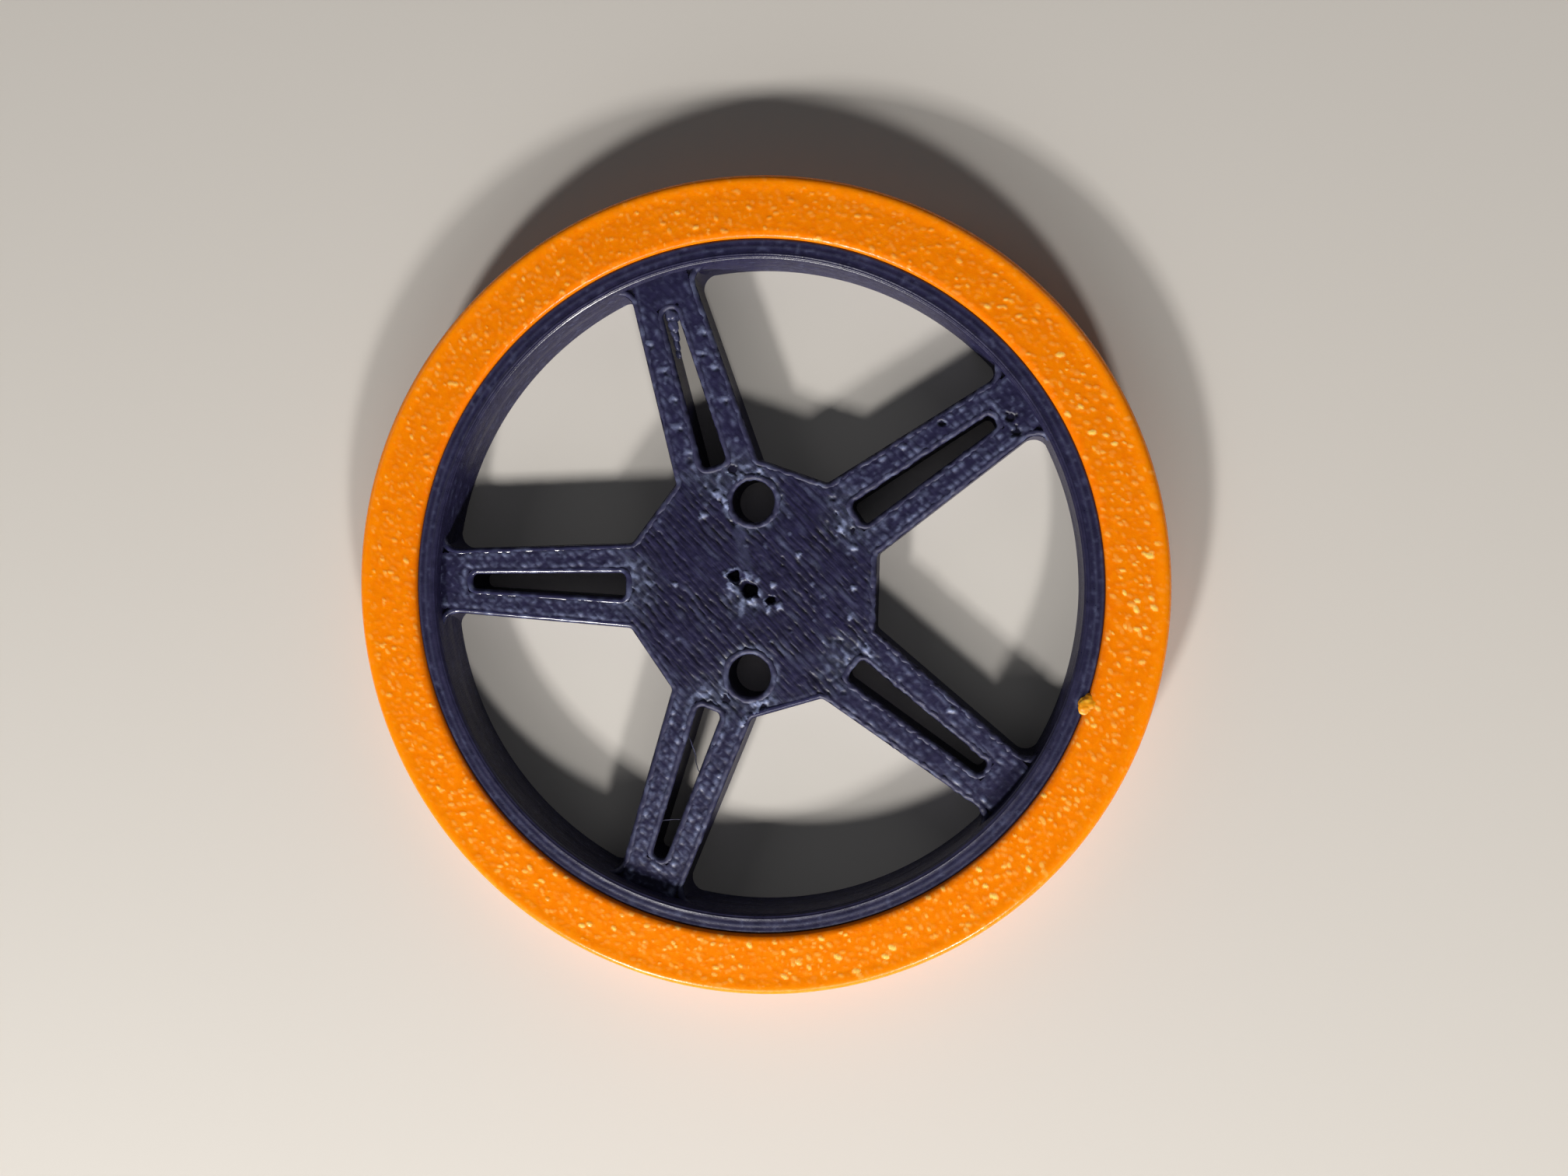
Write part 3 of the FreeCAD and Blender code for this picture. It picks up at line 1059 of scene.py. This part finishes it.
def make_slot_debris():
    """Strings and blobs that half close the outer end of one slot."""
    lumps = []
    for out, aside, height, size, seed in DEBRIS_LUMPS:
        lumps.append(lump(complex(out, aside), height, size, DEBRIS_ANGLE, seed))
    piece = joined("rim_slot_debris", lumps)
    keep_marks(piece, relief=DEBRIS_RELIEF, scuff=DEBRIS_SCUFF)
    smooth(piece, angle=80)
    return piece


# Materials

STREAK_SIZE = (1.6 * MM, 0.16 * MM, MM)
STREAK_STRENGTH = 2.0
GLOSS_STRENGTH = 0.66
WORN_EVERYWHERE = 0.4
MIDDLE = 0.5
MARKS = ("Relief", "Scuff", "Streak", "Gloss")
FINISH_VALUES = MARKS + ("Patch Scale", "Grain Scale", "Least Roughness", "Most Roughness")
FINISH_COLOURS = ("Hollow Colour", "Crest Colour", "Scuff Colour")


def put(tree, kind, values):
    """Adds a node with these values on its input sockets."""
    node = tree.nodes.new(kind)
    for name, value in values.items():
        node.inputs[name].default_value = value
    return node


def worked(tree, operation, first, second):
    """Adds a math node. Each input is a socket or a number, and its result is given back."""
    node = tree.nodes.new("ShaderNodeMath")
    node.operation = operation
    for socket, value in zip(node.inputs, (first, second)):
        if isinstance(value, (int, float)):
            socket.default_value = value
        else:
            tree.links.new(value, socket)
    return node.outputs[0]


def blended(tree, amount, first, second):
    """Adds a colour mix of two sockets and gives its result back."""
    mix = tree.nodes.new("ShaderNodeMix")
    mix.data_type = "RGBA"
    mix.clamp_factor = True
    tree.links.new(amount, mix.inputs["Factor"])
    colours = [socket for socket in mix.inputs if socket.type == "RGBA"]
    tree.links.new(first, colours[0])
    tree.links.new(second, colours[1])
    return [socket for socket in mix.outputs if socket.type == "RGBA"][0]


def make_print_finish():
    """Shared look of printed plastic: colour by relief, with painted shade where it is low, and by patches,
    pale scuffs with painted sheen, uneven gloss and a fine grain.
    """
    tree = bpy.data.node_groups.new("print_finish", "ShaderNodeTree")
    for name in FINISH_VALUES:
        tree.interface.new_socket(name, in_out="INPUT", socket_type="NodeSocketFloat")
    for name in FINISH_COLOURS:
        tree.interface.new_socket(name, in_out="INPUT", socket_type="NodeSocketColor")
    tree.interface.new_socket("Colour", in_out="OUTPUT", socket_type="NodeSocketColor")
    for name in ("Roughness", "Height"):
        tree.interface.new_socket(name, in_out="OUTPUT", socket_type="NodeSocketFloat")
    given = tree.nodes.new("NodeGroupInput").outputs
    result = tree.nodes.new("NodeGroupOutput").inputs
    where = tree.nodes.new("ShaderNodeTexCoord").outputs["Object"]
    patches = put(tree, "ShaderNodeTexNoise", {"Detail": 3.0, "Roughness": 0.6})
    grain = put(tree, "ShaderNodeTexNoise", {"Detail": 2.0, "Roughness": 0.5})
    for texture, scale in ((patches, "Patch Scale"), (grain, "Grain Scale")):
        tree.links.new(where, texture.inputs["Vector"])
        tree.links.new(given[scale], texture.inputs["Scale"])
    turn = put(tree, "ShaderNodeMapping", {"Rotation": (0, 0, FILL_TURN), "Scale": STREAK_SIZE})
    turn.vector_type = "TEXTURE"
    strokes = put(tree, "ShaderNodeTexNoise", {"Scale": 1.0, "Detail": 2.0, "Roughness": 0.6})
    tree.links.new(where, turn.inputs["Vector"])
    tree.links.new(turn.outputs["Vector"], strokes.inputs["Vector"])

    # Colour
    stroke = worked(tree, "SUBTRACT", strokes.outputs["Fac"], MIDDLE)
    streak = worked(tree, "MULTIPLY", worked(tree, "MULTIPLY", stroke, STREAK_STRENGTH), given["Streak"])
    uneven = worked(tree, "ADD", worked(tree, "SUBTRACT", patches.outputs["Fac"], MIDDLE), streak)
    tone = worked(tree, "ADD", given["Relief"], uneven)
    # Scuffs, and the painted sheen and glints that share their mark, mix towards the scuff and sheen colour
    worn = worked(tree, "ADD", grain.outputs["Fac"], WORN_EVERYWHERE)
    worn = worked(tree, "MULTIPLY", given["Scuff"], worn)
    # Painted shade: low relief mixes towards the darker hollow colour
    body = blended(tree, tone, given["Hollow Colour"], given["Crest Colour"])
    tree.links.new(blended(tree, worn, body, given["Scuff Colour"]), result["Colour"])

    # Roughness
    gloss = put(tree, "ShaderNodeMapRange", {"From Min": 0.3, "From Max": 0.7})
    blend = worked(tree, "ADD", patches.outputs["Fac"], grain.outputs["Fac"])
    tree.links.new(worked(tree, "MULTIPLY", blend, MIDDLE), gloss.inputs["Value"])
    tree.links.new(given["Least Roughness"], gloss.inputs["To Min"])
    tree.links.new(given["Most Roughness"], gloss.inputs["To Max"])
    dulled = worked(tree, "SUBTRACT", 1.0, worked(tree, "MULTIPLY", given["Gloss"], GLOSS_STRENGTH))
    tree.links.new(worked(tree, "MULTIPLY", gloss.outputs["Result"], dulled), result["Roughness"])

    # Height of the grain
    matt = worked(tree, "SUBTRACT", 1.0, given["Gloss"])
    grained = worked(tree, "MULTIPLY", grain.outputs["Fac"], matt)
    tree.links.new(worked(tree, "ADD", grained, streak), result["Height"])
    return tree


def printed(name, finish, values, specular, grain_height):
    """Material of printed plastic, from the shared finish and its own values."""
    material = bpy.data.materials.new(name)
    material.use_nodes = True
    tree = material.node_tree
    shader = tree.nodes["Principled BSDF"]
    group = tree.nodes.new("ShaderNodeGroup")
    group.node_tree = finish
    for socket, value in values.items():
        group.inputs[socket].default_value = value
    for socket in MARKS:
        mark = tree.nodes.new("ShaderNodeAttribute")
        mark.attribute_name = socket.lower()
        tree.links.new(mark.outputs["Fac"], group.inputs[socket])
    bump = put(tree, "ShaderNodeBump", {"Strength": 1.0, "Distance": grain_height * MM})
    tree.links.new(group.outputs["Colour"], shader.inputs["Base Color"])
    tree.links.new(group.outputs["Roughness"], shader.inputs["Roughness"])
    tree.links.new(group.outputs["Height"], bump.inputs["Height"])
    tree.links.new(bump.outputs["Normal"], shader.inputs["Normal"])
    shader.inputs["Specular IOR Level"].default_value = specular
    return material


def plain(name, colour, roughness):
    """Material of one even colour, for the floor."""
    material = bpy.data.materials.new(name)
    material.use_nodes = True
    shader = material.node_tree.nodes["Principled BSDF"]
    shader.inputs["Base Color"].default_value = colour
    shader.inputs["Roughness"].default_value = roughness
    return material


def finish_piece(piece, material):
    """Gives a piece its material and ties it to the wheel."""
    piece.data.materials.clear()
    piece.data.materials.append(material)
    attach(piece, BODY)


tyre_front = make_tyre_front()
tyre_tread = make_tyre_tread()
tyre_blob = make_tyre_blob()
rim_ring = make_rim_ring()
rim_web = make_web_body()
rim_beads = make_edge_beads()
rim_fill = make_fill()
rim_debris = make_slot_debris()

# The tyre's scuff and sheen colour is a pale yellow, for its bumps' paler tops with painted highlight and
# for its painted glints
ORANGE = {
    "Hollow Colour": (0.74, 0.135, 0.0, 1), "Crest Colour": (0.92, 0.248, 0.0, 1),
    "Scuff Colour": (1.0, 0.66, 0.15, 1),
    "Patch Scale": 1600, "Grain Scale": 9000, "Least Roughness": 0.14, "Most Roughness": 0.3,
}
STRAY_ORANGE = {
    "Hollow Colour": (0.6, 0.2, 0.0, 1), "Crest Colour": (0.76, 0.28, 0.004, 1),
    "Scuff Colour": (0.88, 0.43, 0.03, 1),
    "Patch Scale": 1600, "Grain Scale": 7000, "Least Roughness": 0.3, "Most Roughness": 0.45,
}
# The rim's scuff and sheen colour is a whitish blue: pale scuffs mix part way to it, and the crumbs'
# painted highlights nearly all the way
NAVY = {
    "Hollow Colour": (0.004, 0.0036, 0.0135, 1), "Crest Colour": (0.0195, 0.0175, 0.06, 1),
    "Scuff Colour": (0.29, 0.34, 0.55, 1),
    "Patch Scale": 1300, "Grain Scale": 8000, "Least Roughness": 0.25, "Most Roughness": 0.44,
}
NAVY_EDGES = NAVY | {"Least Roughness": 0.44, "Most Roughness": 0.6}
NAVY_LINES = NAVY | {"Least Roughness": 0.33, "Most Roughness": 0.48}
RUBBER_GLOW = {
    "Subsurface Weight": 0.35, "Subsurface Radius": (1.0, 0.4, 0.1), "Subsurface Scale": 0.4 * MM,
}

print_finish = make_print_finish()
orange_rubber = printed("tyre_orange_rubber", print_finish, ORANGE, specular=0.28, grain_height=0.008)
stray_rubber = printed("tyre_stray_rubber", print_finish, STRAY_ORANGE, specular=0.35, grain_height=0.01)
for material in (orange_rubber, stray_rubber):
    for socket, value in RUBBER_GLOW.items():
        material.node_tree.nodes["Principled BSDF"].inputs[socket].default_value = value
navy_plastic = printed("rim_navy_plastic", print_finish, NAVY, specular=0.6, grain_height=0.012)
navy_edges = printed("rim_glossy_edges", print_finish, NAVY_EDGES, specular=0.42, grain_height=0.008)
navy_lines = printed("rim_fill_lines", print_finish, NAVY_LINES, specular=0.4, grain_height=0.012)
for piece in (tyre_front, tyre_tread):
    finish_piece(piece, orange_rubber)
finish_piece(tyre_blob, stray_rubber)
for piece in (rim_ring, rim_web, rim_debris):
    finish_piece(piece, navy_plastic)
finish_piece(rim_fill, navy_lines)
finish_piece(rim_beads, navy_edges)
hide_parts("tyre")
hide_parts("rim")


# Floor, lights and camera

FLOOR_SIZE = 3.0
FLOOR_COLOUR = (0.60, 0.57, 0.53, 1)
WARM = (1.0, 0.975, 0.94)
COOL = (0.95, 0.97, 1.0)
WORLD_COLOUR = (0.9, 0.93, 1.0, 1)
WORLD_STRENGTH = 0.04

# The camera's place is in millimetres, its turn in degrees and its focal length in pixels
CAMERA_PLACE = (16.209, 4.386, 105.428)
CAMERA_TURN = (-2.193, 7.661, 1.303)
SENSOR_WIDTH = 36.0
FOCAL_PIXELS = 1650.66
IMAGE_WIDTH = 2016
NEAR_CLIP = 0.002

clear_selection()
bpy.ops.mesh.primitive_plane_add(size=FLOOR_SIZE, location=(0, 0, 0))
floor = added("floor")
floor.data.materials.append(plain("pale_floor", FLOOR_COLOUR, roughness=0.85))


def area_light(name, place, width, height, power, colour):
    """Soft rectangular light that faces the wheel. Its place and size are in metres."""
    clear_selection()
    bpy.ops.object.light_add(type="AREA", location=place)
    light = added(name)
    light.data.shape = "RECTANGLE"
    light.data.size = width
    light.data.size_y = height
    light.data.energy = power
    light.data.color = colour
    light.rotation_euler = Vector(place).to_track_quat("Z", "Y").to_euler()


area_light("key_light", (-0.17, -0.4, 0.265), width=0.05, height=0.05, power=2.3, colour=WARM)
area_light("second_light", (0.16, -0.39, 0.265), width=0.05, height=0.05, power=1.55, colour=WARM)
area_light("strip_light", (0.04, -0.42, 0.27), width=0.26, height=0.03, power=0.35, colour=WARM)
area_light("low_light", (-0.05, -0.46, 0.2), width=0.4, height=0.12, power=0.6, colour=WARM)
area_light("left_light", (-0.5, 0.2, 0.3), width=0.3, height=0.3, power=0.23, colour=COOL)
area_light("back_light", (0.35, 0.45, 0.35), width=0.3, height=0.3, power=0.22, colour=COOL)

world = bpy.data.worlds.new("studio")
world.use_nodes = True
world.node_tree.nodes["Background"].inputs["Color"].default_value = WORLD_COLOUR
world.node_tree.nodes["Background"].inputs["Strength"].default_value = WORLD_STRENGTH
bpy.context.scene.world = world
bpy.context.scene.view_settings.view_transform = "Standard"

bpy.ops.object.camera_add(
    location=Vector(CAMERA_PLACE) * MM,
    rotation=[math.radians(turn) for turn in CAMERA_TURN])
camera = added("camera")
camera.data.sensor_width = SENSOR_WIDTH
camera.data.sensor_fit = "HORIZONTAL"
camera.data.lens = SENSOR_WIDTH * FOCAL_PIXELS / IMAGE_WIDTH
camera.data.clip_start = NEAR_CLIP
bpy.context.scene.camera = camera
